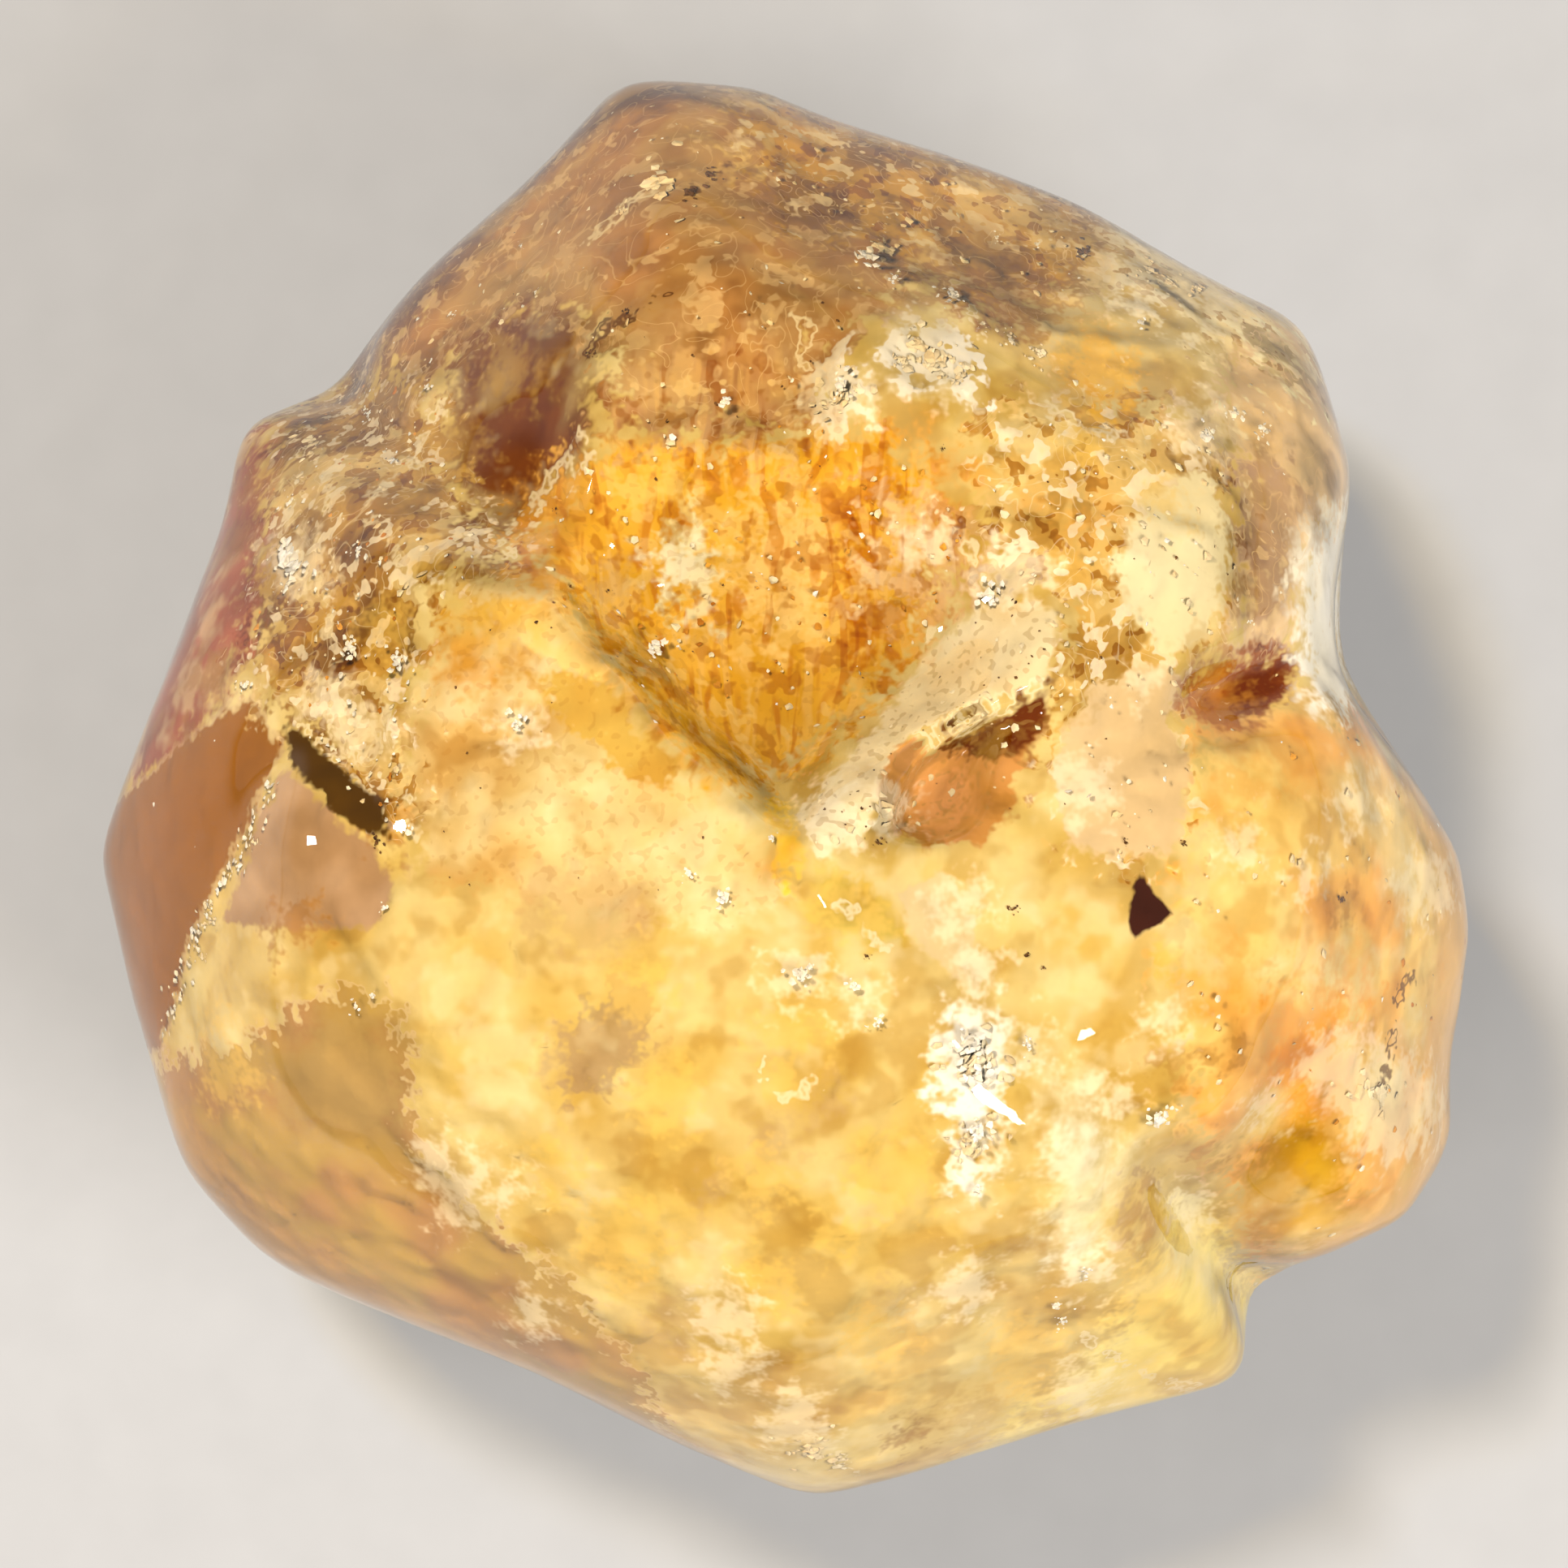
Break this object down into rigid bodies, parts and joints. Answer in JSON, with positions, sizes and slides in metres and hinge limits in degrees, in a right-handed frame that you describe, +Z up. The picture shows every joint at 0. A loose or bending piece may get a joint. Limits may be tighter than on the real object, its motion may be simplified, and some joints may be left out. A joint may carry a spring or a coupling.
{
  "type": "grossular garnet",
  "caption": "Tumble-polished pebble of honey-yellow grossular garnet, clear in places and cloudy in others, with a shallow basin, a scooped side and a notch; lies on its flattest side.",
  "frame": {"origin": "under the middle of the stone, in the plane it rests on", "axes": "+Z up from the resting face; +Y towards the clear brown end; +X towards the scooped side, so the view from +Z shows the basin upright"},
  "size_m": [0.0243, 0.0252, 0.015],
  "materials": {
    "grossular": "tumble-polished, glossy, translucent honey yellow"
  },
  "bodies": {
    "root": {"garnet": "grossular"}
  },
  "joints": []
}
